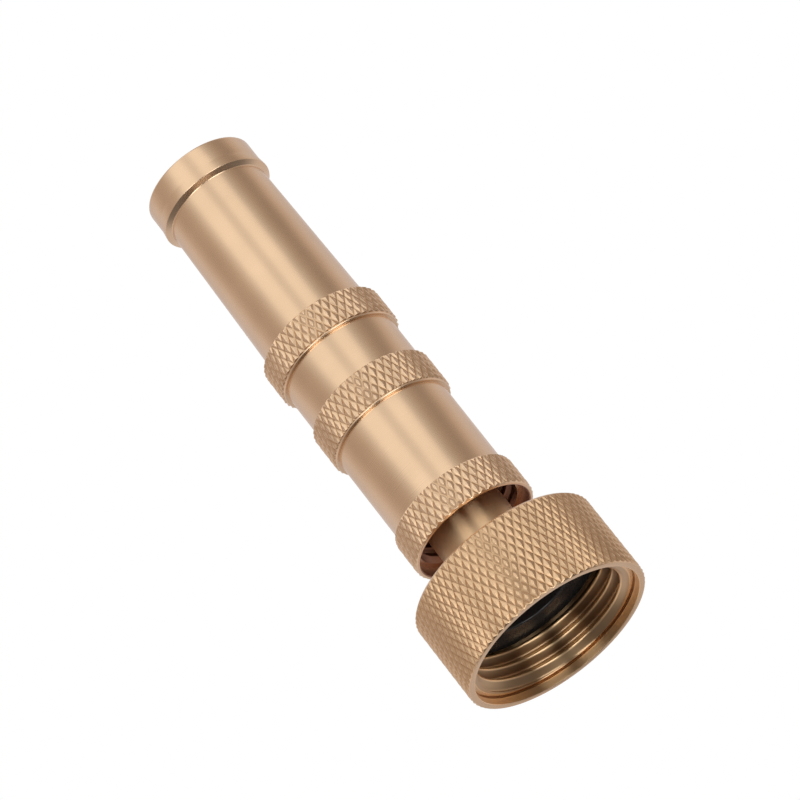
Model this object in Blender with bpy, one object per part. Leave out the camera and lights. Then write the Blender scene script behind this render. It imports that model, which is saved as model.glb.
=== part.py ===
"""Adjustable brass hose nozzle, modelled piece by piece.

The nozzle stands on the mouth of its hose coupling: the origin is the centre of that mouth,
and +Z runs along the axis towards the tip. It is shown three turns open.
Turning the barrel screws it along the stem; fully closed, its orifice meets the valve tip.
"""

import math

import bmesh
import bpy

MM = 0.001

# --- driving dimensions -------------------------------------------------------------------

# barrel, measured from its rear face towards the tip
BARREL_LENGTH = 74.15 * MM
BARREL_REAR_Z = 20.95 * MM          # height of its rear face, three turns open
BAND_RADIUS = 10.37 * MM            # crests of the three knurled bands
BAND_CHAMFER = 0.3 * MM
REAR_BAND_TOP = 5.7 * MM
MIDDLE_BAND = (21.2 * MM, 27.25 * MM)
FRONT_BAND = (35.1 * MM, 40.5 * MM)
GRIP_RADIUS = 9.53 * MM             # plain stretches between the bands
TUBE_REAR_RADIUS = 8.97 * MM
TUBE_FRONT_RADIUS = 8.37 * MM
TUBE_TOP = 68.55 * MM
RIM_BOTTOM = 69.1 * MM
RIM_BEAD_RADIUS = 9.33 * MM
RIM_BEAD_HEIGHT = 1.4 * MM
RIM_RADIUS = 9.12 * MM
RIM_ROUND = 0.3 * MM
REAR_OPENING_RADIUS = 9.25 * MM
REAR_OPENING_CHAMFER = 0.4 * MM
REAR_OPENING_DEPTH = 1.5 * MM
BARREL_THREAD_RADIUS = 8.65 * MM    # root of the barrel's own thread, and the bore beyond it
THREAD_BORE_TOP = 19.4 * MM
SEAL_BORE_RADIUS = 7.25 * MM
SEAT_BOTTOM = 64.6 * MM             # the 45 degree valve seat starts here
ORIFICE_RADIUS = 2.75 * MM
ORIFICE_LENGTH = 3.0 * MM
ORIFICE_FLARE_RADIUS = 4.6 * MM

# screw thread between barrel and stem, right-hand
SCREW_PITCH = 1.75 * MM
TURNS_OPEN = 3.0
BARREL_RIDGE_CREST = 7.95 * MM
BARREL_RIDGE_WIDTH = 0.25 * MM
BARREL_RIDGE_START = 2.5 * MM
BARREL_RIDGE_TURNS = 8.0
STEM_RIDGE_CREST = 8.4 * MM
STEM_RIDGE_WIDTH = 0.35 * MM
STEM_RIDGE_START = BARREL_REAR_Z + BARREL_RIDGE_START + 2.5 * SCREW_PITCH   # between two turns
STEM_RIDGE_TURNS = 4.0

# stem, measured from the coupling's mouth like everything that doesn't move along it
STEM_FLANGE = (11.1 * MM, 12.2 * MM)
STEM_FLANGE_RADIUS = 9.0 * MM
STEM_BORE_RADIUS = 4.6 * MM
NECK_RADIUS = 6.36 * MM
STEM_CORE_RADIUS = 7.65 * MM
STEM_THREAD = (25.6 * MM, 35.3 * MM)
SEAL_LAND_RADIUS = 6.95 * MM
SEAL_LAND_TOP = 50.0 * MM
GROOVE_RADIUS = 5.65 * MM
GROOVE_WIDTH = 2.3 * MM
O_RING_HEIGHTS = {"rear_o_ring": 44.6 * MM, "front_o_ring": 48.0 * MM}
WATER_TUBE_RADIUS = 5.8 * MM
TIP_SOCKET_RADIUS = 2.75 * MM
WATER_HOLE_RADIUS = 2.5 * MM

# the front of the stem and the valve tip, which meet the valve seat when the barrel is closed
SEAT_Z = BARREL_REAR_Z + SEAT_BOTTOM - TURNS_OPEN * SCREW_PITCH
WATER_HOLE_Z = SEAT_Z - 14.8 * MM
STEM_BORE_TOP = SEAT_Z - 10.1 * MM
STEM_TOP = SEAT_Z - 1.8 * MM
TIP_SHANK_RADIUS = 2.45 * MM
TIP_SHANK_BOTTOM = SEAT_Z - 8.6 * MM
TIP_COLLAR = (SEAT_Z - 1.6 * MM, SEAT_Z + 0.75 * MM)
TIP_COLLAR_RADIUS = 5.4 * MM
TIP_CHAMFER = 0.4 * MM
TIP_GROOVE_RADIUS = 3.05 * MM
TIP_NOSE_BOTTOM = SEAT_Z + 3.2 * MM
TIP_NOSE_RADIUS = 3.55 * MM
TIP_PIN_RADIUS = 2.3 * MM
TIP_TOP = SEAT_Z + 7.35 * MM
TIP_SEAL_Z = SEAT_Z + 1.97 * MM
TIP_SEAL_RADIUS = 3.9 * MM
TIP_SEAL_HALF_WIDTH = 0.78 * MM

# coupling, 3/4 inch garden hose thread (11.5 turns to the inch)
COUPLING_RADIUS = 15.45 * MM
COUPLING_HEIGHT = 14.05 * MM
COUPLING_MOUTH_RADIUS = 14.37 * MM
COUPLING_MOUTH_DEPTH = 1.1 * MM
COUPLING_LIP_RADIUS = 15.1 * MM
COUPLING_LIP_CHAMFER = 0.3 * MM
COUPLING_BACK_CHAMFER = 0.35 * MM
COUPLING_FLOOR_Z = 12.4 * MM
COUPLING_NECK_HOLE = 6.6 * MM
HOSE_THREAD_PITCH = 25.4 / 11.5 * MM
HOSE_THREAD_ROOT = 13.65 * MM
HOSE_THREAD_CREST = 12.3 * MM
HOSE_RIDGE_WIDTH = 0.35 * MM
HOSE_THREAD_START = 1.2 * MM
HOSE_THREAD_TURNS = 2.75
WASHER_BOTTOM = 8.0 * MM
WASHER_THICKNESS = 2.9 * MM
WASHER_RADIUS = 12.75 * MM
WASHER_HOLE_RADIUS = 7.6 * MM
WASHER_EDGE = 0.3 * MM

# mesh fineness
AROUND = 40
RING_AROUND = 24
RING_SECTION = 8
THREAD_STEPS = 24                   # per turn
THREAD_ROOT_SINK = 0.2 * MM         # how far a ridge's foot reaches into the metal it stands on
THREAD_FLANK = math.tan(math.radians(30.0))

BRASS = ("brass", (0.72, 0.50, 0.30), 1.0, 0.32)
RUBBER = ("rubber", (0.02, 0.02, 0.022), 0.0, 0.35)


# --- tools --------------------------------------------------------------------------------

def make_material(name, colour, metallic, roughness):
    material = bpy.data.materials.new(name)
    material.use_nodes = True
    shader = material.node_tree.nodes["Principled BSDF"]
    shader.inputs["Base Color"].default_value = (*colour, 1.0)
    shader.inputs["Metallic"].default_value = metallic
    shader.inputs["Roughness"].default_value = roughness
    return material


def add_object(name, mesh, finish, height=0.0, parent=None):
    """Stand a mesh on the axis with its own datum at the given height above the mouth."""
    piece = bpy.data.objects.new(name, mesh)
    bpy.context.scene.collection.objects.link(piece)
    if finish:
        slot, colour, metallic, roughness = finish
        mesh.materials.append(make_material(f"{name}_{slot}", colour, metallic, roughness))
    mesh.shade_smooth()
    mesh.set_sharp_from_angle(angle=math.radians(35.0))
    piece.location.z = height - (parent["height"] if parent else 0.0)
    piece["height"] = height
    piece.parent = parent
    return piece


def close_mesh(name, shape):
    bmesh.ops.remove_doubles(shape, verts=shape.verts, dist=0.000001)
    bmesh.ops.recalc_face_normals(shape, faces=shape.faces)
    mesh = bpy.data.meshes.new(name)
    shape.to_mesh(mesh)
    shape.free()
    return mesh


def turned(name, outline, around=AROUND):
    """Spin an outline of (radius, height) points round the axis into one closed piece.

    An outline that starts and ends on the axis makes a solid; any other makes a ring.
    """
    shape = bmesh.new()
    points = [shape.verts.new((radius, 0.0, height)) for radius, height in outline]
    following = points[1:] if outline[0][0] == 0.0 else points[1:] + points[:1]
    edges = [shape.edges.new(pair) for pair in zip(points, following)]
    bmesh.ops.spin(
        shape, geom=points + edges, cent=(0, 0, 0), axis=(0, 0, 1),
        angle=math.tau, steps=around, use_merge=True,
    )
    return close_mesh(name, shape)


def thread_ridge(name, root, crest, crest_width, pitch, start, turns, lead_in=0.25):
    """A right-hand helical ridge of one thread, as a closed solid.

    It stands out from the root radius when crest is larger, and inwards when it is smaller.
    Its ends sink into the metal over a lead-in, given in turns.
    """
    outward = math.copysign(1.0, crest - root)
    depth = abs(crest - root)
    steps = round(turns * THREAD_STEPS)
    shape = bmesh.new()
    sections = []
    for step in range(steps + 1):
        turn = step / THREAD_STEPS
        rise = min(1.0, turn / lead_in, (turns - turn) / lead_in)
        top = depth * rise - THREAD_ROOT_SINK * (1.0 - rise)
        foot = -THREAD_ROOT_SINK * (2.0 - rise)
        half_top = crest_width / 2 + (depth - top) * THREAD_FLANK * rise
        half_foot = crest_width / 2 + (depth - foot) * THREAD_FLANK * rise
        height = start + pitch * turn
        angle = math.tau * turn
        corners = []
        for out, along in ((foot, -half_foot), (top, -half_top), (top, half_top), (foot, half_foot)):
            radius = root + outward * out
            corners.append(shape.verts.new((
                radius * math.cos(angle), radius * math.sin(angle), height + along,
            )))
        sections.append(corners)
    for near, far in zip(sections, sections[1:]):
        for side in range(4):
            following = (side + 1) % 4
            shape.faces.new((near[side], near[following], far[following], far[side]))
    shape.faces.new(reversed(sections[0]))
    shape.faces.new(sections[-1])
    return close_mesh(name, shape)


def as_cutter(piece):
    piece.hide_render = True
    piece.display_type = "WIRE"


def combine(piece, tool, operation):
    as_cutter(tool)
    step = piece.modifiers.new(tool.name, "BOOLEAN")
    step.operation = operation
    step.solver = "EXACT"
    step.object = tool


def o_ring_outline(centre_radius, half_width, half_height):
    points = []
    for index in range(RING_SECTION):
        angle = math.tau * (index + 0.5) / RING_SECTION
        points.append((
            centre_radius + half_width * math.cos(angle) / math.cos(math.pi / RING_SECTION),
            half_height * math.sin(angle) / math.cos(math.pi / RING_SECTION),
        ))
    return points


# --- pieces -------------------------------------------------------------------------------

def knurled_band(bottom, top):
    """The outline of one band, in barrel heights: a plain cylinder through the knurl's crests."""
    return [
        (BAND_RADIUS - BAND_CHAMFER, bottom),
        (BAND_RADIUS, bottom + BAND_CHAMFER),
        (BAND_RADIUS, top - BAND_CHAMFER),
        (BAND_RADIUS - BAND_CHAMFER, top),
    ]


def make_barrel(parent):
    seat_top = SEAT_BOTTOM + SEAL_BORE_RADIUS - ORIFICE_RADIUS
    bore_step = BARREL_THREAD_RADIUS - SEAL_BORE_RADIUS
    opening_step = REAR_OPENING_RADIUS - BARREL_THREAD_RADIUS
    outside = [
        *knurled_band(0.0, REAR_BAND_TOP),
        (GRIP_RADIUS, REAR_BAND_TOP),
        (GRIP_RADIUS, MIDDLE_BAND[0]),
        *knurled_band(*MIDDLE_BAND),
        (GRIP_RADIUS, MIDDLE_BAND[1]),
        (GRIP_RADIUS, FRONT_BAND[0]),
        *knurled_band(*FRONT_BAND),
        (TUBE_REAR_RADIUS, FRONT_BAND[1]),
        (TUBE_FRONT_RADIUS, TUBE_TOP),
        (RIM_BEAD_RADIUS - RIM_ROUND, RIM_BOTTOM),
        (RIM_BEAD_RADIUS, RIM_BOTTOM + RIM_ROUND),
        (RIM_RADIUS, RIM_BOTTOM + RIM_BEAD_HEIGHT),
        (RIM_RADIUS, BARREL_LENGTH - RIM_ROUND),
        (RIM_RADIUS - RIM_ROUND, BARREL_LENGTH),
    ]
    inside = [
        (ORIFICE_FLARE_RADIUS, BARREL_LENGTH),
        (ORIFICE_RADIUS, seat_top + ORIFICE_LENGTH),
        (ORIFICE_RADIUS, seat_top),
        (SEAL_BORE_RADIUS, SEAT_BOTTOM),
        (SEAL_BORE_RADIUS, THREAD_BORE_TOP + bore_step),
        (BARREL_THREAD_RADIUS, THREAD_BORE_TOP),
        (BARREL_THREAD_RADIUS, REAR_OPENING_DEPTH + opening_step),
        (REAR_OPENING_RADIUS, REAR_OPENING_DEPTH),
        (REAR_OPENING_RADIUS, REAR_OPENING_CHAMFER),
        (REAR_OPENING_RADIUS + REAR_OPENING_CHAMFER, 0.0),
    ]
    barrel = add_object("barrel", turned("barrel", outside + inside), BRASS, BARREL_REAR_Z, parent)
    ridge = thread_ridge(
        "barrel_thread", BARREL_THREAD_RADIUS, BARREL_RIDGE_CREST, BARREL_RIDGE_WIDTH,
        SCREW_PITCH, BARREL_RIDGE_START, BARREL_RIDGE_TURNS,
    )
    combine(barrel, add_object("barrel_thread", ridge, None, BARREL_REAR_Z, barrel), "UNION")
    return barrel


def seal_groove(height):
    return [
        (SEAL_LAND_RADIUS, height - GROOVE_WIDTH / 2),
        (GROOVE_RADIUS, height - GROOVE_WIDTH / 2),
        (GROOVE_RADIUS, height + GROOVE_WIDTH / 2),
        (SEAL_LAND_RADIUS, height + GROOVE_WIDTH / 2),
    ]


def make_stem(parent):
    flange_bottom, flange_top = STEM_FLANGE
    thread_bottom, thread_top = STEM_THREAD
    shoulder = STEM_CORE_RADIUS - NECK_RADIUS
    land_chamfer = SEAL_LAND_RADIUS - WATER_TUBE_RADIUS
    outside = [
        (STEM_FLANGE_RADIUS, flange_bottom),
        (STEM_FLANGE_RADIUS, flange_top),
        (NECK_RADIUS, flange_top),
        (NECK_RADIUS, thread_bottom),
        (STEM_CORE_RADIUS, thread_bottom + shoulder),
        (STEM_CORE_RADIUS, thread_top),
        (SEAL_LAND_RADIUS, thread_top),
    ]
    for height in sorted(O_RING_HEIGHTS.values()):
        outside += seal_groove(height)
    outside += [
        (SEAL_LAND_RADIUS, SEAL_LAND_TOP - land_chamfer),
        (WATER_TUBE_RADIUS, SEAL_LAND_TOP),
        (WATER_TUBE_RADIUS, STEM_TOP),
    ]
    inside = [
        (TIP_SOCKET_RADIUS, STEM_TOP),
        (TIP_SOCKET_RADIUS, STEM_BORE_TOP + STEM_BORE_RADIUS - TIP_SOCKET_RADIUS),
        (STEM_BORE_RADIUS, STEM_BORE_TOP),
        (STEM_BORE_RADIUS, flange_bottom),
    ]
    stem = add_object("stem", turned("stem", outside + inside), BRASS, 0.0, parent)
    ridge = thread_ridge(
        "stem_thread", STEM_CORE_RADIUS, STEM_RIDGE_CREST, STEM_RIDGE_WIDTH,
        SCREW_PITCH, STEM_RIDGE_START, STEM_RIDGE_TURNS,
    )
    combine(stem, add_object("stem_thread", ridge, None, 0.0, stem), "UNION")
    for index in range(2):
        hole = bmesh.new()
        bmesh.ops.create_cone(
            hole, cap_ends=True, segments=16, radius1=WATER_HOLE_RADIUS,
            radius2=WATER_HOLE_RADIUS, depth=4 * WATER_TUBE_RADIUS,
        )
        drill = add_object(f"water_hole_{index}", close_mesh("water_hole", hole), None,
                           WATER_HOLE_Z, stem)
        drill.rotation_euler = (math.pi / 2, 0.0, math.pi / 2 * index)
        combine(stem, drill, "DIFFERENCE")
    return stem


def make_valve_tip(parent):
    collar_bottom, collar_top = TIP_COLLAR
    pin_bottom = TIP_NOSE_BOTTOM + TIP_NOSE_RADIUS - TIP_PIN_RADIUS
    outline = [
        (0.0, TIP_SHANK_BOTTOM),
        (TIP_SHANK_RADIUS - TIP_CHAMFER, TIP_SHANK_BOTTOM),
        (TIP_SHANK_RADIUS, TIP_SHANK_BOTTOM + TIP_CHAMFER),
        (TIP_SHANK_RADIUS, collar_bottom),
        (TIP_COLLAR_RADIUS, collar_bottom),
        (TIP_COLLAR_RADIUS, collar_top - TIP_CHAMFER),
        (TIP_COLLAR_RADIUS - TIP_CHAMFER, collar_top),
        (TIP_GROOVE_RADIUS, collar_top),
        (TIP_GROOVE_RADIUS, TIP_NOSE_BOTTOM),
        (TIP_NOSE_RADIUS, TIP_NOSE_BOTTOM),
        (TIP_PIN_RADIUS, pin_bottom),
        (TIP_PIN_RADIUS * 0.6, TIP_TOP - 0.5 * MM),
        (TIP_PIN_RADIUS * 0.35, TIP_TOP - 0.1 * MM),
        (0.0, TIP_TOP),
    ]
    return add_object("valve_tip", turned("valve_tip", outline, RING_AROUND), BRASS, 0.0, parent)


def make_tip_seal(parent):
    outline = o_ring_outline(TIP_SEAL_RADIUS, TIP_SEAL_HALF_WIDTH, TIP_SEAL_HALF_WIDTH)
    mesh = turned("tip_seal_ring", outline, RING_AROUND)
    return add_object("tip_seal_ring", mesh, RUBBER, TIP_SEAL_Z, parent)


def make_o_ring(name, height, parent):
    """A stem ring, squeezed flat between its groove and the barrel's bore."""
    room = SEAL_BORE_RADIUS - GROOVE_RADIUS
    outline = o_ring_outline((SEAL_BORE_RADIUS + GROOVE_RADIUS) / 2, room * 0.42, room * 0.55)
    return add_object(name, turned(name, outline, RING_AROUND), RUBBER, height, parent)


def make_coupling():
    outline = [
        (COUPLING_LIP_RADIUS, 0.0),
        (COUPLING_RADIUS, COUPLING_LIP_CHAMFER),
        (COUPLING_RADIUS, COUPLING_HEIGHT - COUPLING_BACK_CHAMFER),
        (COUPLING_RADIUS - COUPLING_BACK_CHAMFER, COUPLING_HEIGHT),
        (COUPLING_NECK_HOLE, COUPLING_HEIGHT),
        (COUPLING_NECK_HOLE, COUPLING_FLOOR_Z),
        (HOSE_THREAD_ROOT, COUPLING_FLOOR_Z),
        (HOSE_THREAD_ROOT, COUPLING_MOUTH_DEPTH),
        (COUPLING_MOUTH_RADIUS, 0.0),
    ]
    coupling = add_object("coupling_nut", turned("coupling_nut", outline), BRASS)
    ridge = thread_ridge(
        "hose_thread", HOSE_THREAD_ROOT, HOSE_THREAD_CREST, HOSE_RIDGE_WIDTH,
        HOSE_THREAD_PITCH, HOSE_THREAD_START, HOSE_THREAD_TURNS,
    )
    combine(coupling, add_object("hose_thread", ridge, None, 0.0, coupling), "UNION")
    return coupling


def make_washer(parent):
    outline = [
        (WASHER_HOLE_RADIUS, 0.0),
        (WASHER_RADIUS - WASHER_EDGE, 0.0),
        (WASHER_RADIUS, WASHER_EDGE),
        (WASHER_RADIUS, WASHER_THICKNESS - WASHER_EDGE),
        (WASHER_RADIUS - WASHER_EDGE, WASHER_THICKNESS),
        (WASHER_HOLE_RADIUS, WASHER_THICKNESS),
    ]
    return add_object("hose_washer", turned("hose_washer", outline), RUBBER, WASHER_BOTTOM, parent)


def clear_scene():
    for item in list(bpy.data.objects):
        bpy.data.objects.remove(item, do_unlink=True)


def main():
    clear_scene()
    coupling = make_coupling()
    make_washer(coupling)
    stem = make_stem(coupling)
    valve_tip = make_valve_tip(stem)
    make_tip_seal(valve_tip)
    rings = [make_o_ring(name, height, stem) for name, height in O_RING_HEIGHTS.items()]
    make_barrel(rings[0])


main()
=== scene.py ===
"""Brass twist hose nozzle: its fine surfaces, materials, light and camera.

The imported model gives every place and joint. Each of its eight pieces is turned again here with
rounded edges, real threads and real knurling, and takes the place of its CAD node.
Lengths are in millimetres until a mesh is made.
"""

import math

import bmesh
import bpy
import numpy as np
from mathutils import Matrix, Vector


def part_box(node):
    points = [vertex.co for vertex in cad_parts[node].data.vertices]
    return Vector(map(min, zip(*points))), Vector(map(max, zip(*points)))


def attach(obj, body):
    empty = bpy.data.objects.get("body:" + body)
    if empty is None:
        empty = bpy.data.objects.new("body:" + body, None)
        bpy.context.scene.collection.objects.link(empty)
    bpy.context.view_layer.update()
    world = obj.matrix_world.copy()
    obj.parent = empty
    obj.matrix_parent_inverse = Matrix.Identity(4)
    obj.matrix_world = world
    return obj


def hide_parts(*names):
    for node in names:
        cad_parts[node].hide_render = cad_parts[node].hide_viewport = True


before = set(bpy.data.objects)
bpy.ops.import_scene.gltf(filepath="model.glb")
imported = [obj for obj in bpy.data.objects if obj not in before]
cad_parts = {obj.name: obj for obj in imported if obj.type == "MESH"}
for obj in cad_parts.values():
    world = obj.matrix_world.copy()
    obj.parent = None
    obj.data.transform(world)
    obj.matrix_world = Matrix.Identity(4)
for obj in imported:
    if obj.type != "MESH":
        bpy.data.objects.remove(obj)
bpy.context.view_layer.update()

MM = 0.001
TOLERANCE = 0.01                    # lengths closer than this count as the same, in millimetres


# --- driving dimensions, in millimetres ----------------------------------------------------

def node_box(node):
    """A CAD node's outer radius, lowest height and highest height."""
    low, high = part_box(node)
    return high[0] / MM, low[2] / MM, high[2] / MM


BARREL_RADIUS, BARREL_REAR, BARREL_TIP = node_box("barrel")
COUPLING_RADIUS, COUPLING_MOUTH, COUPLING_BACK = node_box("coupling_nut")
FLANGE_RADIUS, STEM_REAR, STEM_TOP = node_box("stem")
WASHER_RADIUS, WASHER_BOTTOM, WASHER_TOP = node_box("hose_washer")
TIP_COLLAR_RADIUS, TIP_BOTTOM, TIP_TOP = node_box("valve_tip")

# barrel, from its rear face towards the tip
BARREL_LENGTH = BARREL_TIP - BARREL_REAR
REAR_BAND = (0.0, 5.7)
MIDDLE_BAND = (21.2, 27.25)
FRONT_BAND = (35.1, 40.5)
REAR_EDGE = 0.3                     # chamfer round the barrel's rear face
BAND_EDGE = 0.2                     # chamfer at a band's front end
STEP_EDGE = 0.38                    # chamfer at a raised band's rear end, deeper than the knurl
STEP_RING = 0.36                    # and how far in from that end the knurl starts
STEP_CORNER = 0.03                  # fillet in the corner behind a raised band
BAND_CORNER = 0.1                   # and in the corner in front of any band
GRIP_RADIUS = 9.53                  # of the plain stretches between the bands
TUBE_REAR_RADIUS = 8.97
TUBE_FRONT_RADIUS = 8.37
TUBE_TOP = 68.55
RIM_BOTTOM = 69.0
RIM_BEAD_RADIUS = 9.34
RIM_BEAD_HEIGHT = 1.7
RIM_RADIUS = 9.13
RIM_BLEND = 3.0                     # radius of the soft curve between bead and rim
REAR_OPENING_RADIUS = 9.55
REAR_OPENING_DEPTH = 1.9
BARREL_CREST_RADIUS = 7.95
BARREL_ROOT_RADIUS = 8.65
BARREL_THREAD_TOP = 16.9
THREAD_BORE_TOP = 19.4
SEAL_BORE_RADIUS = 7.25
SEAT_BOTTOM = 64.6
ORIFICE_RADIUS = 2.75
ORIFICE_LENGTH = 3.0
ORIFICE_FLARE_RADIUS = 4.6

# screw thread between barrel and stem
SCREW_PITCH = 1.75
BARREL_CREST_WIDTH = 0.25
BARREL_CREST_Z = 2.5                # barrel height of a crest on the +X side
STEM_CREST_WIDTH = 0.35
STEM_CREST_RADIUS = 8.4
STEM_CREST_Z = BARREL_REAR + BARREL_CREST_Z + SCREW_PITCH / 2    # half a turn off the barrel's

# stem
FLANGE_TOP = STEM_REAR + 1.1
STEM_BORE_RADIUS = 4.6
NECK_RADIUS = 6.36
NECK_BLEND = 0.8                    # radius of the curve at the neck's upper end
STEM_CORE_RADIUS = 7.65
STEM_THREAD = (25.6, 35.3)
SEAL_LAND_RADIUS = 6.95
SEAL_LAND_TOP = 50.0
SEAL_GROOVE_RADIUS = 5.65
SEAL_GROOVE_WIDTH = 2.3
O_RING_SQUEEZE = 0.23               # how much narrower than high a squeezed ring's section is
WATER_TUBE_RADIUS = 5.8
TIP_SOCKET_RADIUS = 2.75
STEM_BORE_TOP = STEM_TOP - 8.3
WATER_HOLE_RADIUS = 2.5
WATER_HOLE_Z = STEM_TOP - 13.0

# valve tip
TIP_SHANK_RADIUS = 2.45
TIP_COLLAR = (STEM_TOP + 0.2, STEM_TOP + 2.55)
TIP_GROOVE_RADIUS = 3.05
TIP_NOSE_BOTTOM = STEM_TOP + 5.0
TIP_NOSE_RADIUS = 3.55
TIP_PIN_RADIUS = 2.3
TIP_POINT_RADIUS = 1.265

# coupling and washer
COUPLING_LIP_CHAMFER = 0.25
COUPLING_BACK_CHAMFER = 0.45
MOUTH_RADIUS = 14.3                 # of the counterbore in front of the thread
MOUTH_DEPTH = 1.2
UNDERCUT_TOP = 1.5                  # narrow groove between counterbore and thread
UNDERCUT_DEPTH = 0.4
UNDERCUT_STEEPNESS = 8.0            # of its walls: depth gained per length
UNDERCUT_INNER_RADIUS = 13.7        # where its upper wall meets the thread
COUPLING_FLOOR = 12.4
NECK_HOLE_RADIUS = 6.6
HOSE_CREST_RADIUS = 12.3
HOSE_ROOT_RADIUS = 13.65
HOSE_PITCH = 25.4 / 11.5
HOSE_CREST_WIDTH = 0.3
HOSE_CREST_Z = 0.45                 # height of a crest on the +X side
HOSE_THREAD_BOTTOM = UNDERCUT_TOP + 0.1
HOSE_THREAD_TOP = 7.45
HOSE_THREAD_RUNOUT = 0.6            # length of the slope from its last crest to its root
WASHER_HOLE_RADIUS = 7.6

# knurl: two families of V grooves that cross in long diamonds
KNURL_LENGTH = 2.45                 # of one diamond, along the axis
KNURL_DEPTH = 0.25
KNURL_GROOVE = 0.37                 # half a groove's width, as a share of the groove spacing
BAND_DIAMONDS = 48
COUPLING_DIAMONDS = 72
KNURL_STEPS = 10                    # mesh steps across one diamond, each way

# threads: rounded V ridges with flanks 60 degrees apart
THREAD_FLANK = math.tan(math.radians(30.0))
THREAD_ROUNDING = 0.06              # how softly crests and roots turn into flanks

# mesh steps
PLAIN_AROUND = 192                  # points round a plain piece
TIP_AROUND = 96                     # round the valve tip
RING_AROUND = 128                   # round a rubber ring
RING_SECTION = 20                   # and round its section
HOLE_AROUND = 48                    # round a water hole
ARC_STEPS = 4                       # along a fillet
THREAD_ROW = 0.08                   # length along a thread
EDGE_ROW = 0.08                     # length along a knurled piece's edges
SHARP_ANGLE = math.radians(32.0)
WELD_DISTANCE = 0.0005


# --- outlines: corners as (radius, height) or (radius, height, fillet) -----------------------

def rounded(outline):
    """The outline's corners as plain points, with an arc in place of each filleted corner."""
    corners = [(Vector(point[:2]), point[2] if len(point) > 2 else 0.0) for point in outline]
    points = []
    for index, (corner, fillet) in enumerate(corners):
        if not fillet:
            points.append(tuple(corner))
            continue
        before = (corners[index - 1][0] - corner).normalized()
        after = (corners[(index + 1) % len(corners)][0] - corner).normalized()
        opening = before.angle(after)
        reach = fillet / math.tan(opening / 2)
        centre = corner + (before + after).normalized() * fillet / math.sin(opening / 2)
        start = corner + before * reach - centre
        end = corner + after * reach - centre
        sweep = start.angle(end)
        for step in range(ARC_STEPS + 1):
            swept = sweep * step / ARC_STEPS
            spoke = start * math.sin(sweep - swept) + end * math.sin(swept)
            points.append(tuple(centre + spoke / math.sin(sweep)))
    return points


def slope(start, end, spacing):
    """Points along a straight line, evenly spaced, for a stretch that gets relief."""
    count = max(1, round(math.dist(start, end) / spacing))
    return [tuple(Vector(start).lerp(Vector(end), step / count)) for step in range(count + 1)]


def rows(radius, start, end, spacing):
    """Points from one height to another at one radius."""
    return slope((radius, start), (radius, end), spacing)


# --- relief: how deep a tool has cut ---------------------------------------------------------

def knurl_cut(angle, height, diamonds, start):
    """Depth of the crossing V grooves at a place on a cylinder."""
    around = angle * diamonds / math.tau
    along = (height - start) / KNURL_LENGTH
    depth = np.zeros(np.broadcast(angle, height).shape)
    for family in (around + along, around - along):
        off_groove = np.abs(family - np.round(family))
        depth = np.maximum(depth, KNURL_DEPTH * (1.0 - off_groove / KNURL_GROOVE))
    return depth


def thread_cut(angle, height, crest_height, pitch, crest_width, depth):
    """Depth below the crests of a right-hand thread that has a crest at crest_height at angle 0."""
    turns = (height - crest_height) / pitch - angle / math.tau
    off_crest = np.abs(turns - np.round(turns)) * pitch
    flank = (off_crest - crest_width / 2) / THREAD_FLANK
    past_crest = np.logaddexp(0.0, flank / THREAD_ROUNDING)
    past_root = np.logaddexp(0.0, (flank - depth) / THREAD_ROUNDING)
    return THREAD_ROUNDING * (past_crest - past_root)


# --- meshes --------------------------------------------------------------------------------

def turned(name, outline, around=PLAIN_AROUND, relief=None, base=0.0):
    """Spin an outline round the axis into one closed mesh.

    relief(angle, radius, height) gives the radius that a tool leaves, and the mesh keeps how deep
    it cut as cut_depth. An outline that starts and ends on the axis makes a solid, and any other
    one makes a ring. Its outside runs upwards, so faces on stretches that run downwards get the
    second material. base is added to every height.
    """
    profile = np.array(outline)
    angles = np.arange(around) * math.tau / around
    radius = np.repeat(profile[:, :1], around, axis=1)
    height = np.repeat(profile[:, 1:], around, axis=1)
    angle = np.repeat(angles[None, :], len(profile), axis=0)
    cut = relief(angle, radius, height) if relief else radius
    points = np.stack((cut * np.cos(angle), cut * np.sin(angle), height + base), axis=-1) * MM

    index = np.arange(len(profile) * around).reshape(len(profile), around)
    solid = profile[0, 0] == 0.0
    here = index[:-1] if solid else index
    above = index[1:] if solid else np.roll(index, -1, axis=0)
    corners = (here, np.roll(here, -1, axis=1), np.roll(above, -1, axis=1), above)
    quads = np.stack([corner.ravel() for corner in corners], axis=-1)
    faces = split_along_edges(quads, angle, radius, height, cut, relief) if relief else quads
    faces_inward = profile[quads[:, 3] // around, 1] < profile[quads[:, 0] // around, 1]

    mesh = bpy.data.meshes.new(name)
    mesh.from_pydata(points.reshape(-1, 3).tolist(), [], faces.tolist())
    depth = mesh.attributes.new("cut_depth", "FLOAT", "POINT")
    depth.data.foreach_set("value", np.abs(cut - radius).ravel())
    faces_per_quad = len(faces) // len(quads)
    material_index = np.tile(faces_inward, faces_per_quad).astype(np.int32)
    mesh.polygons.foreach_set("material_index", material_index)
    if solid:
        weld_axis(mesh)
    mesh.shade_smooth()
    mesh.set_sharp_from_angle(angle=SHARP_ANGLE)
    piece = bpy.data.objects.new(name, mesh)
    bpy.context.scene.collection.objects.link(piece)
    return piece


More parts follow.
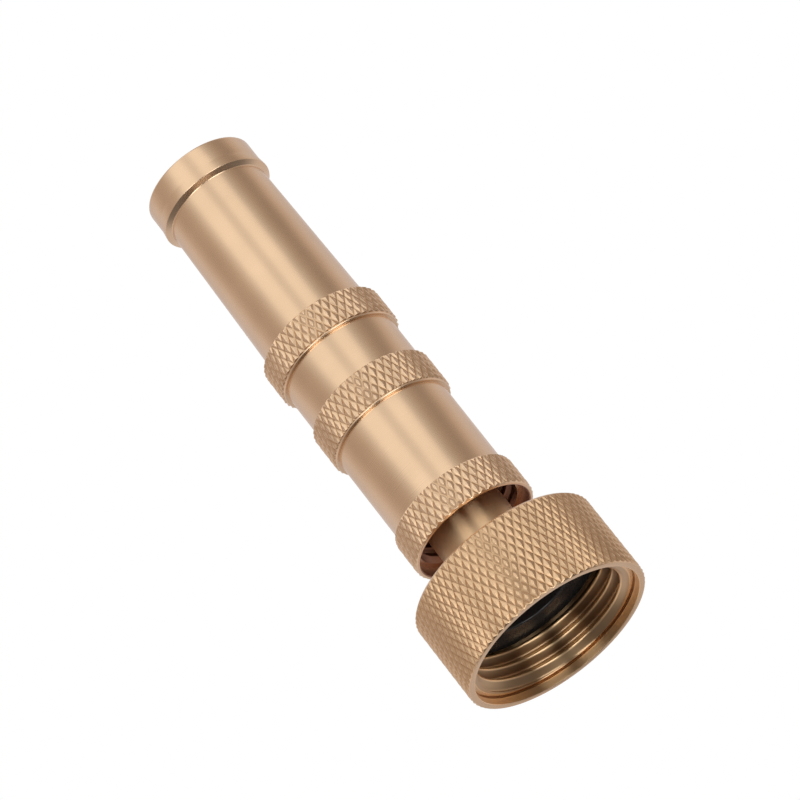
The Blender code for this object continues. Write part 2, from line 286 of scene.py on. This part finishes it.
def split_along_edges(quads, angle, radius, height, cut, relief):
    """Split each quad into two triangles on the diagonal that lies closer to the true surface."""
    flat_cut = cut.ravel()[quads]
    around = angle.shape[1]
    middle_angle = angle.ravel()[quads[:, 0]] + math.pi / around
    middle_radius = radius.ravel()[quads].mean(axis=1)
    middle_height = height.ravel()[quads].mean(axis=1)
    true_cut = relief(middle_angle, middle_radius, middle_height)
    first = np.abs((flat_cut[:, 0] + flat_cut[:, 2]) / 2 - true_cut)
    second = np.abs((flat_cut[:, 1] + flat_cut[:, 3]) / 2 - true_cut)
    use_second = (second < first)[:, None]
    lower = np.where(use_second, quads[:, [0, 1, 3]], quads[:, [0, 1, 2]])
    upper = np.where(use_second, quads[:, [1, 2, 3]], quads[:, [0, 2, 3]])
    return np.concatenate((lower, upper))


def weld_axis(mesh):
    """Make one point of each row that lies on the axis."""
    shape = bmesh.new()
    shape.from_mesh(mesh)
    bmesh.ops.remove_doubles(shape, verts=shape.verts, dist=WELD_DISTANCE * MM)
    shape.to_mesh(mesh)
    shape.free()


def place(piece, node, body, outer_finish, inner_finish):
    """Let a piece stand for its CAD node, move with its body and wear its finishes."""
    piece.data.materials.append(outer_finish)
    piece.data.materials.append(inner_finish)
    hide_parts(node)
    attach(piece, body)


# --- pieces --------------------------------------------------------------------------------

def knurled_band(radius, bottom, top, bottom_edge, top_edge):
    """Outline of a knurled cylinder with a chamfer at each end, from its bottom upwards."""
    return [
        *slope((radius - bottom_edge, bottom), (radius, bottom + bottom_edge), EDGE_ROW)[:-1],
        *rows(radius, bottom + bottom_edge, top - top_edge, KNURL_LENGTH / KNURL_STEPS),
        *slope((radius, top - top_edge), (radius - top_edge, top), EDGE_ROW)[1:],
    ]


def barrel_relief(angle, radius, height):
    """Knurled bands outside, with a plain ring at each step's rear end, and a thread inside."""
    knurl = BARREL_RADIUS - knurl_cut(angle, height, BAND_DIAMONDS, REAR_BAND[0])
    for rear_end, _ in (MIDDLE_BAND, FRONT_BAND):
        in_ring = (height > rear_end - TOLERANCE) & (height < rear_end + STEP_RING)
        knurl = np.where(in_ring, BARREL_RADIUS - KNURL_DEPTH, knurl)
    thread = BARREL_CREST_RADIUS + thread_cut(
        angle, height, BARREL_CREST_Z, SCREW_PITCH, BARREL_CREST_WIDTH,
        BARREL_ROOT_RADIUS - BARREL_CREST_RADIUS,
    )
    in_bore = radius < BARREL_ROOT_RADIUS + TOLERANCE
    in_thread = in_bore & (height < BARREL_THREAD_TOP + TOLERANCE)
    return np.where(in_thread, np.maximum(radius, thread), np.minimum(radius, knurl))


def make_barrel(finish, shaded_bore_finish):
    seat_top = SEAT_BOTTOM + SEAL_BORE_RADIUS - ORIFICE_RADIUS
    crest_chamfer = BARREL_ROOT_RADIUS - BARREL_CREST_RADIUS
    outside = [
        *knurled_band(BARREL_RADIUS, *REAR_BAND, REAR_EDGE, BAND_EDGE),
        (GRIP_RADIUS, REAR_BAND[1], BAND_CORNER),
    ]
    for band, next_radius in ((MIDDLE_BAND, GRIP_RADIUS), (FRONT_BAND, TUBE_REAR_RADIUS)):
        outside += [
            (GRIP_RADIUS, band[0], STEP_CORNER),
            *knurled_band(BARREL_RADIUS, *band, STEP_EDGE, BAND_EDGE),
            (next_radius, band[1], BAND_CORNER),
        ]
    outside += [
        (TUBE_FRONT_RADIUS, TUBE_TOP, 0.25),
        (RIM_BEAD_RADIUS, RIM_BOTTOM, 0.12),
        (RIM_RADIUS, RIM_BOTTOM + RIM_BEAD_HEIGHT, RIM_BLEND),
        (RIM_RADIUS, BARREL_LENGTH, 0.35),
    ]
    inside = [
        (ORIFICE_FLARE_RADIUS, BARREL_LENGTH, 0.2),
        (ORIFICE_RADIUS, seat_top + ORIFICE_LENGTH, 0.3),
        (ORIFICE_RADIUS, seat_top),
        (SEAL_BORE_RADIUS, SEAT_BOTTOM),
        (SEAL_BORE_RADIUS, THREAD_BORE_TOP + BARREL_ROOT_RADIUS - SEAL_BORE_RADIUS),
        (BARREL_ROOT_RADIUS, THREAD_BORE_TOP),
        (BARREL_ROOT_RADIUS, BARREL_THREAD_TOP + crest_chamfer),
        *rows(BARREL_CREST_RADIUS, BARREL_THREAD_TOP, REAR_OPENING_DEPTH + crest_chamfer, THREAD_ROW),
        (BARREL_ROOT_RADIUS, REAR_OPENING_DEPTH),
        (REAR_OPENING_RADIUS, REAR_OPENING_DEPTH),
        (REAR_OPENING_RADIUS, REAR_BAND[0], 0.2),
    ]
    piece = turned(
        "barrel_turned", rounded(outside + inside), BAND_DIAMONDS * KNURL_STEPS,
        barrel_relief, BARREL_REAR,
    )
    place(piece, "barrel", "barrel", finish, shaded_bore_finish)


def seal_groove(centre):
    """Corners of an O-ring's groove in the stem."""
    bottom = centre - SEAL_GROOVE_WIDTH / 2
    top = centre + SEAL_GROOVE_WIDTH / 2
    return [
        (SEAL_LAND_RADIUS, bottom, 0.1),
        (SEAL_GROOVE_RADIUS, bottom, 0.2),
        (SEAL_GROOVE_RADIUS, top, 0.2),
        (SEAL_LAND_RADIUS, top, 0.1),
    ]


def stem_relief(angle, radius, height):
    """A thread outside, above the neck."""
    thread = STEM_CREST_RADIUS - thread_cut(
        angle, height, STEM_CREST_Z, SCREW_PITCH, STEM_CREST_WIDTH,
        STEM_CREST_RADIUS - STEM_CORE_RADIUS,
    )
    in_thread = (radius > STEM_CORE_RADIUS) & (height > STEM_THREAD[0])
    return np.where(in_thread, np.minimum(radius, thread), radius)


def make_stem(finish, shaded_bore_finish):
    thread_bottom, thread_top = STEM_THREAD
    crest_chamfer = STEM_CREST_RADIUS - STEM_CORE_RADIUS
    core_bottom = thread_bottom + STEM_CORE_RADIUS - NECK_RADIUS
    outside = [
        (FLANGE_RADIUS, STEM_REAR, 0.25),
        (FLANGE_RADIUS, FLANGE_TOP, 0.25),
        (NECK_RADIUS, FLANGE_TOP, 0.3),
        (NECK_RADIUS, thread_bottom, NECK_BLEND),
        (STEM_CORE_RADIUS, core_bottom),
        *rows(
            STEM_CREST_RADIUS, core_bottom + crest_chamfer, thread_top - 2 * crest_chamfer, THREAD_ROW,
        ),
        (STEM_CORE_RADIUS, thread_top - crest_chamfer),
        (STEM_CORE_RADIUS, thread_top, 0.15),
        (SEAL_LAND_RADIUS, thread_top, 0.15),
    ]
    for ring in ("rear_o_ring", "front_o_ring"):
        _, ring_bottom, ring_top = node_box(ring)
        outside += seal_groove((ring_bottom + ring_top) / 2)
    outside += [
        (SEAL_LAND_RADIUS, SEAL_LAND_TOP - SEAL_LAND_RADIUS + WATER_TUBE_RADIUS, 0.2),
        (WATER_TUBE_RADIUS, SEAL_LAND_TOP, 0.4),
        (WATER_TUBE_RADIUS, STEM_TOP, 0.3),
    ]
    inside = [
        (TIP_SOCKET_RADIUS, STEM_TOP, 0.15),
        (TIP_SOCKET_RADIUS, STEM_BORE_TOP + STEM_BORE_RADIUS - TIP_SOCKET_RADIUS),
        (STEM_BORE_RADIUS, STEM_BORE_TOP),
        (STEM_BORE_RADIUS, STEM_REAR, 0.3),
    ]
    piece = turned("stem_turned", rounded(outside + inside), PLAIN_AROUND, stem_relief)
    for turn in (0.0, math.pi / 2):
        drill_across(piece, turn)
    for face in piece.data.polygons:    # what lies inside the barrel gets the bore's darker brass, painted shade
        if face.center.z > thread_bottom * MM:
            face.material_index = 1
    place(piece, "stem", "stem", finish, shaded_bore_finish)


def drill_across(piece, turn):
    """Drill one water hole right across a piece."""
    drill_shape = bmesh.new()
    bmesh.ops.create_cone(
        drill_shape, cap_ends=True, segments=HOLE_AROUND, radius1=WATER_HOLE_RADIUS * MM,
        radius2=WATER_HOLE_RADIUS * MM, depth=4 * WATER_TUBE_RADIUS * MM,
        matrix=Matrix.Translation((0.0, 0.0, WATER_HOLE_Z * MM))
        @ Matrix.Rotation(turn, 4, "Z") @ Matrix.Rotation(math.pi / 2, 4, "X"),
    )
    drill_mesh = bpy.data.meshes.new("drill")
    drill_shape.to_mesh(drill_mesh)
    drill_shape.free()
    drill = bpy.data.objects.new("drill", drill_mesh)
    bpy.context.scene.collection.objects.link(drill)
    cut = piece.modifiers.new("water_hole", "BOOLEAN")
    cut.operation = "DIFFERENCE"
    cut.solver = "EXACT"
    cut.object = drill
    cut_piece = piece.evaluated_get(bpy.context.evaluated_depsgraph_get())
    drilled = bpy.data.meshes.new_from_object(cut_piece)
    piece.modifiers.clear()
    piece.data = drilled
    bpy.data.objects.remove(drill, do_unlink=True)


def make_valve_tip(finish):
    collar_bottom, collar_top = TIP_COLLAR
    pin_bottom = TIP_NOSE_BOTTOM + TIP_NOSE_RADIUS - TIP_PIN_RADIUS
    outline = [
        (0.0, TIP_BOTTOM),
        (TIP_SHANK_RADIUS, TIP_BOTTOM, 0.4),
        (TIP_SHANK_RADIUS, collar_bottom, 0.1),
        (TIP_COLLAR_RADIUS, collar_bottom, 0.15),
        (TIP_COLLAR_RADIUS, collar_top, 0.4),
        (TIP_GROOVE_RADIUS, collar_top, 0.15),
        (TIP_GROOVE_RADIUS, TIP_NOSE_BOTTOM, 0.1),
        (TIP_NOSE_RADIUS, TIP_NOSE_BOTTOM, 0.1),
        (TIP_PIN_RADIUS, pin_bottom, 0.3),
        (TIP_POINT_RADIUS, TIP_TOP, 0.5),
        (0.0, TIP_TOP),
    ]
    piece = turned("valve_tip_turned", rounded(outline), TIP_AROUND)
    place(piece, "valve_tip", "stem", finish, finish)


def make_ring(node, body, finish, squeeze=0.0):
    """A rubber ring in its CAD node's box, whose section is narrower than high by the squeeze."""
    outer, bottom, top = node_box(node)
    half_height = (top - bottom) / 2
    half_width = half_height * (1.0 - squeeze)
    outline = []
    for step in range(RING_SECTION):
        angle = math.tau * step / RING_SECTION
        outline.append((
            outer - half_width + half_width * math.cos(angle),
            bottom + half_height + half_height * math.sin(angle),
        ))
    piece = turned(node + "_moulded", outline, RING_AROUND)
    place(piece, node, body, finish, finish)


def coupling_relief(angle, radius, height):
    """Knurling outside; inside, the hose thread and the undercut in front of it."""
    knurl = COUPLING_RADIUS - knurl_cut(angle, height, COUPLING_DIAMONDS, COUPLING_MOUTH)
    thread = HOSE_CREST_RADIUS + thread_cut(
        angle, height, HOSE_CREST_Z, HOSE_PITCH, HOSE_CREST_WIDTH,
        HOSE_ROOT_RADIUS - HOSE_CREST_RADIUS,
    )
    into_undercut = np.minimum(height - MOUTH_DEPTH, UNDERCUT_TOP - height)
    undercut = MOUTH_RADIUS + np.clip(into_undercut * UNDERCUT_STEEPNESS, 0.0, UNDERCUT_DEPTH)
    in_thread = (radius < HOSE_ROOT_RADIUS + TOLERANCE) & (height < HOSE_THREAD_TOP + TOLERANCE)
    in_mouth = np.abs(radius - MOUTH_RADIUS) < TOLERANCE
    inside = np.where(in_mouth, undercut, np.maximum(radius, thread))
    return np.where(in_thread | in_mouth, inside, np.minimum(radius, knurl))


def make_coupling(finish, thread_finish):
    outline = [
        *knurled_band(
            COUPLING_RADIUS, COUPLING_MOUTH, COUPLING_BACK, COUPLING_LIP_CHAMFER, COUPLING_BACK_CHAMFER,
        ),
        (NECK_HOLE_RADIUS, COUPLING_BACK, 0.25),
        (NECK_HOLE_RADIUS, COUPLING_FLOOR, 0.2),
        (HOSE_ROOT_RADIUS, COUPLING_FLOOR, 0.5),
        (HOSE_ROOT_RADIUS, HOSE_THREAD_TOP + HOSE_THREAD_RUNOUT),
        *rows(HOSE_CREST_RADIUS, HOSE_THREAD_TOP, HOSE_THREAD_BOTTOM, THREAD_ROW),
        (UNDERCUT_INNER_RADIUS, UNDERCUT_TOP),
        *rows(MOUTH_RADIUS, UNDERCUT_TOP, MOUTH_DEPTH, THREAD_ROW / 2),
        (MOUTH_RADIUS, COUPLING_MOUTH, 0.1),
    ]
    piece = turned(
        "coupling_nut_turned", rounded(outline), COUPLING_DIAMONDS * KNURL_STEPS, coupling_relief,
    )
    place(piece, "coupling_nut", "coupling", finish, thread_finish)


def make_washer(finish):
    outline = [
        (WASHER_HOLE_RADIUS, WASHER_BOTTOM, 0.3),
        (WASHER_RADIUS, WASHER_BOTTOM, 0.5),
        (WASHER_RADIUS, WASHER_TOP, 0.5),
        (WASHER_HOLE_RADIUS, WASHER_TOP, 0.3),
    ]
    piece = turned("hose_washer_moulded", rounded(outline))
    place(piece, "hose_washer", "coupling", finish, finish)


# --- materials -----------------------------------------------------------------------------

BRASS = (0.81, 0.57, 0.37)
GOLDEN_BRASS = (0.77, 0.52, 0.31)
DRAWN_BRASS = (0.84, 0.58, 0.34)
THREAD_BRASS = (0.88, 0.60, 0.33)
SHADED_BORE_BRASS = (0.42, 0.23, 0.16)     # darker brown brass, painted shade for bores and surfaces inside the parts
RUBBER_BLACK = (0.018, 0.017, 0.017)
RUBBER_ROUGHNESS = (0.18, 0.42)

# sizes of the noise patterns, in features per metre along X, Y and Z
CLOUDS = (160.0, 160.0, 160.0)
TURNING_LINES = (120.0, 120.0, 9000.0)
RUBBER_GRAIN = (4000.0, 4000.0, 4000.0)

CLOUD_EDGES = (0.3, 0.7)            # noise values where the clouds' darker and paler ends start
GROOVE_SHADE_SHARE = 0.6                   # how far the colour turns to painted groove shade where a cut is knurl-deep or more
QUARTER_TURN = 0.25                 # from round the axis to along it


def new_material(name, colour, metallic, roughness):
    material = bpy.data.materials.new(name)
    material.use_nodes = True
    shader = material.node_tree.nodes["Principled BSDF"]
    shader.inputs["Base Color"].default_value = (*colour, 1.0)
    shader.inputs["Metallic"].default_value = metallic
    shader.inputs["Roughness"].default_value = roughness
    return material, shader


def add_node(owner, kind, **settings):
    """A shader node in a material or world, with its own settings, such as operation."""
    node = owner.node_tree.nodes.new("ShaderNode" + kind)
    for key, value in settings.items():
        setattr(node, key, value)
    return node


def join(owner, source, target):
    owner.node_tree.links.new(source, target)


def map_range(owner, value, old_range, new_range=(0.0, 1.0)):
    """A value carried over from one range to another, and held at the new one's ends."""
    node = add_node(owner, "MapRange")
    for name, number in zip(("From Min", "From Max", "To Min", "To Max"), (*old_range, *new_range)):
        node.inputs[name].default_value = number
    join(owner, value, node.inputs["Value"])
    return node.outputs["Result"]


def mix_colours(owner, share):
    """A colour mix by a share: its first colour, its second colour and its result."""
    mix = add_node(owner, "Mix", data_type="RGBA")
    join(owner, share, mix.inputs["Factor"])
    first, second = mix.inputs[6:8]
    return first, second, mix.outputs[2]


def stretched_noise(material, features, detail=3.0):
    """Noise in the piece's own coordinates, with so many features per metre along X, Y and Z."""
    coordinates = add_node(material, "TexCoord")
    mapping = add_node(material, "Mapping")
    mapping.inputs["Scale"].default_value = features
    noise = add_node(material, "TexNoise")
    noise.inputs["Scale"].default_value = 1.0
    noise.inputs["Detail"].default_value = detail
    join(material, coordinates.outputs["Object"], mapping.inputs["Vector"])
    join(material, mapping.outputs["Vector"], noise.inputs["Vector"])
    return noise.outputs["Fac"]


def add_grain(material, shader, noise, roughness, strength, height):
    """Let a noise vary the roughness between two values and raise the surface, in millimetres."""
    rough = map_range(material, noise, (0.0, 1.0), roughness)
    join(material, rough, shader.inputs["Roughness"])
    bump = add_node(material, "Bump")
    bump.inputs["Strength"].default_value = strength
    bump.inputs["Distance"].default_value = height * MM
    join(material, noise, bump.inputs["Height"])
    join(material, bump.outputs["Normal"], shader.inputs["Normal"])


def turned_brass(name, pale, deep, roughness, stretch, clouding):
    """Lathe-turned brass: fine lines round the axis, clouded colour, and painted shade that turns it
    browner down in the cuts.

    stretch says how far the turning lines spread a reflection along the axis, from 0 to 1, and
    clouding by what share of pale the darker clouds fall short of it.
    """
    material, shader = new_material(name, pale, 1.0, sum(roughness) / 2)
    shader.inputs["Anisotropic"].default_value = stretch
    shader.inputs["Anisotropic Rotation"].default_value = QUARTER_TURN
    round_axis = add_node(material, "Tangent", direction_type="RADIAL", axis="Z")
    join(material, round_axis.outputs["Tangent"], shader.inputs["Tangent"])

    clouds = stretched_noise(material, CLOUDS)
    tone = add_node(material, "ValToRGB")
    dark_end, pale_end = tone.color_ramp.elements
    dark_end.position, pale_end.position = CLOUD_EDGES
    dark_end.color = (*[channel * (1.0 - clouding) for channel in pale], 1.0)
    pale_end.color = (*pale, 1.0)
    join(material, clouds, tone.inputs["Fac"])

    # painted shade: the colour turns towards deep where a cut is deep, darkening knurl grooves, thread
    # roots and the undercut
    cut = add_node(material, "Attribute", attribute_name="cut_depth")
    painted_groove_shade = map_range(
        material, cut.outputs["Fac"], (KNURL_DEPTH / 2, KNURL_DEPTH), (0.0, GROOVE_SHADE_SHARE),
    )
    unshaded_colour, shaded_colour, colour = mix_colours(material, painted_groove_shade)
    join(material, tone.outputs["Color"], unshaded_colour)
    shaded_colour.default_value = (*deep, 1.0)
    join(material, colour, shader.inputs["Base Color"])

    lines = stretched_noise(material, TURNING_LINES, detail=2.0)
    add_grain(material, shader, lines, roughness, strength=0.07, height=0.02)
    return material


def moulded_rubber(name):
    """Black rubber with a soft sheen and the fine grain of its mould."""
    material, shader = new_material(name, RUBBER_BLACK, 0.0, sum(RUBBER_ROUGHNESS) / 2)
    grain = stretched_noise(material, RUBBER_GRAIN, detail=4.0)
    add_grain(material, shader, grain, RUBBER_ROUGHNESS, strength=0.15, height=0.03)
    return material


# --- stage, light and camera ----------------------------------------------------------------

CAMERA_AZIMUTH = math.pi            # the camera stands on the -X side
CAMERA_PITCH = math.radians(26.1)   # and looks up into the mouth by this much
CAMERA_ROLL = math.radians(38.3)
CAMERA_LENS = 232.4                 # in millimetres, as is the sensor's width
SENSOR_WIDTH = 36.0
VIEW_RANGE = 20.0                   # in metres, as are the floor's measures
FLOOR_DROP = 0.6
FLOOR_RADIUS = 6.0
FLOOR_AROUND = 96
FLOOR_PAINT = (0.9, 0.9, 0.9)
FLOOR_GLOW = 0.25                   # evens out the floor's brightness

# the centre of the coupling's mouth, right, up and back from the camera
MOUTH_IN_VIEW = Vector((22.6, -33.8, -739.0)) * MM


def camera_turn():
    """The camera's axes in the world: right, up and back."""
    back = Vector((
        math.cos(CAMERA_AZIMUTH) * math.cos(CAMERA_PITCH),
        math.sin(CAMERA_AZIMUTH) * math.cos(CAMERA_PITCH),
        -math.sin(CAMERA_PITCH),
    ))
    level_right = Vector((0.0, 0.0, 1.0)).cross(back).normalized()
    level_up = back.cross(level_right)
    right = level_right * math.cos(CAMERA_ROLL) - level_up * math.sin(CAMERA_ROLL)
    up = back.cross(right)
    return Matrix((right, up, back)).transposed()


def add_camera():
    turn = camera_turn()
    lens = bpy.data.cameras.new("camera")
    lens.lens = CAMERA_LENS
    lens.sensor_width = SENSOR_WIDTH
    lens.clip_end = VIEW_RANGE
    camera = bpy.data.objects.new("camera", lens)
    camera.matrix_world = Matrix.Translation(-(turn @ MOUTH_IN_VIEW)) @ turn.to_4x4()
    bpy.context.scene.collection.objects.link(camera)
    bpy.context.scene.camera = camera


# The studio's light, as stops (degrees round from the camera's side, brightness, tint). From
# above the horizon it is white behind the object, darker and brownish at each side, and brighter
# in front, with a gap in the middle.
WHITE = (1.0, 0.96, 0.99)
BROWN = (1.0, 0.88, 0.82)
LAMP = (1.0, 1.0, 1.0)
STUDIO_ABOVE = (
    (-180, 0.85, WHITE), (-150, 0.66, WHITE), (-118, 0.76, WHITE), (-100, 0.62, BROWN),
    (-82, 0.50, BROWN), (-60, 0.56, BROWN), (-42, 0.80, LAMP), (-35, 1.15, LAMP),
    (-7, 1.15, LAMP), (-1, 0.84, LAMP), (11, 0.84, LAMP), (16, 1.15, LAMP), (38, 1.12, LAMP),
    (46, 0.66, LAMP), (62, 0.48, BROWN), (80, 0.36, BROWN), (92, 0.44, BROWN),
    (104, 0.62, BROWN), (122, 0.72, WHITE), (150, 0.66, WHITE), (180, 0.85, WHITE),
)
# From below the horizon it has two bright lamps in front, with near darkness beside them.
STUDIO_BELOW = (
    (-180, 0.62, WHITE), (-120, 0.85, WHITE), (-75, 0.55, BROWN), (-36, 0.16, BROWN),
    (-31, 4.6, LAMP), (-9, 4.6, LAMP), (-4, 0.12, BROWN), (14, 0.12, BROWN), (19, 4.6, LAMP),
    (47, 4.6, LAMP), (52, 0.16, BROWN), (75, 0.55, BROWN), (120, 0.85, WHITE), (180, 0.62, WHITE),
)
STUDIO_POWER = 4.6                  # the brightest stop, which a ramp holds as 1

# A direction's height runs from -1, straight down, to 1, straight up.
HORIZON = (-0.38, -0.10)            # heights between which the lower light turns into the upper
DIM_FLOOR = (-0.72, -0.48)          # and between which all light grows from DIM_SHARE to full
DIM_SHARE = 0.25


def studio_ramp(world, share, stops):
    """Colour of the light along the stops, where share is the share of a full turn from behind."""
    ramp = add_node(world, "ValToRGB")
    elements = ramp.color_ramp.elements
    while len(elements) < len(stops):
        elements.new(0.5)
    for element, (degrees, brightness, tint) in zip(elements, stops):
        element.position = (degrees + 180.0) / 360.0
        element.color = (*[brightness / STUDIO_POWER * channel for channel in tint], 1.0)
    join(world, share, ramp.inputs["Fac"])
    return ramp.outputs["Color"]


def add_studio():
    """The studio as light that surrounds the object. The camera itself sees plain white."""
    world = bpy.data.worlds.new("studio")
    bpy.context.scene.world = world
    world.use_nodes = True
    direction = add_node(world, "TexCoord")
    from_camera = add_node(world, "VectorRotate", rotation_type="Z_AXIS")
    from_camera.inputs["Angle"].default_value = -CAMERA_AZIMUTH
    join(world, direction.outputs["Generated"], from_camera.inputs["Vector"])
    parts = add_node(world, "SeparateXYZ")
    join(world, from_camera.outputs["Vector"], parts.inputs["Vector"])
    bearing = add_node(world, "Math", operation="ARCTAN2")
    join(world, parts.outputs["Y"], bearing.inputs[0])
    join(world, parts.outputs["X"], bearing.inputs[1])

    height = parts.outputs["Z"]
    share = map_range(world, bearing.outputs[0], (-math.pi, math.pi))
    from_below, from_above, colour = mix_colours(world, map_range(world, height, HORIZON))
    join(world, studio_ramp(world, share, STUDIO_BELOW), from_below)
    join(world, studio_ramp(world, share, STUDIO_ABOVE), from_above)
    power = map_range(world, height, DIM_FLOOR, (DIM_SHARE * STUDIO_POWER, STUDIO_POWER))

    lit = world.node_tree.nodes["Background"]
    join(world, power, lit.inputs["Strength"])
    join(world, colour, lit.inputs["Color"])
    seen = add_node(world, "Background")
    seen.inputs["Color"].default_value = (1.0, 1.0, 1.0, 1.0)
    path = add_node(world, "LightPath")
    choice = add_node(world, "MixShader")
    join(world, path.outputs["Is Camera Ray"], choice.inputs["Fac"])
    join(world, lit.outputs["Background"], choice.inputs[1])
    join(world, seen.outputs["Background"], choice.inputs[2])
    join(world, choice.outputs["Shader"], world.node_tree.nodes["World Output"].inputs["Surface"])


def add_floor():
    """A pale floor well below the object, which doesn't show in its reflections."""
    mesh = bpy.data.meshes.new("floor")
    shape = bmesh.new()
    bmesh.ops.create_circle(shape, cap_ends=True, segments=FLOOR_AROUND, radius=FLOOR_RADIUS)
    shape.to_mesh(mesh)
    shape.free()
    floor = bpy.data.objects.new("floor", mesh)
    floor.location.z = -FLOOR_DROP
    bpy.context.scene.collection.objects.link(floor)
    paint, shader = new_material("floor_paint", FLOOR_PAINT, 0.0, 0.7)
    shader.inputs["Emission Color"].default_value = (1.0, 1.0, 1.0, 1.0)
    shader.inputs["Emission Strength"].default_value = FLOOR_GLOW
    mesh.materials.append(paint)
    floor.visible_glossy = False


# --- the whole scene ------------------------------------------------------------------------

bpy.context.scene.view_settings.view_transform = "Standard"
# each brass's deep colour is its painted shade down in the cuts
satin_brass = turned_brass(
    "satin_brass", pale=BRASS, deep=(0.50, 0.29, 0.14),
    roughness=(0.23, 0.31), stretch=0.4, clouding=0.06,
)
golden_brass = turned_brass(
    "golden_brass", pale=GOLDEN_BRASS, deep=(0.45, 0.26, 0.13),
    roughness=(0.21, 0.33), stretch=0.4, clouding=0.06,
)
drawn_brass = turned_brass(
    "drawn_brass", pale=DRAWN_BRASS, deep=(0.50, 0.29, 0.14),
    roughness=(0.30, 0.40), stretch=0.9, clouding=0.05,
)
threaded_brass = turned_brass(
    "threaded_brass", pale=THREAD_BRASS, deep=(0.34, 0.22, 0.13),
    roughness=(0.28, 0.38), stretch=0.9, clouding=0.05,
)
# painted shade: a darker copy of the brass for the bores and for what lies inside the barrel
shaded_bore_brass = turned_brass(
    "shaded_bore_brass", pale=SHADED_BORE_BRASS, deep=(0.30, 0.17, 0.12),
    roughness=(0.42, 0.56), stretch=0.3, clouding=0.15,
)
black_rubber = moulded_rubber("black_rubber")

make_barrel(satin_brass, shaded_bore_brass)
make_stem(drawn_brass, shaded_bore_brass)
make_valve_tip(drawn_brass)
make_coupling(golden_brass, threaded_brass)
make_washer(black_rubber)
make_ring("front_o_ring", "seal_rings", black_rubber, O_RING_SQUEEZE)
make_ring("rear_o_ring", "seal_rings", black_rubber, O_RING_SQUEEZE)
make_ring("tip_seal_ring", "stem", black_rubber)
add_studio()
add_floor()
add_camera()
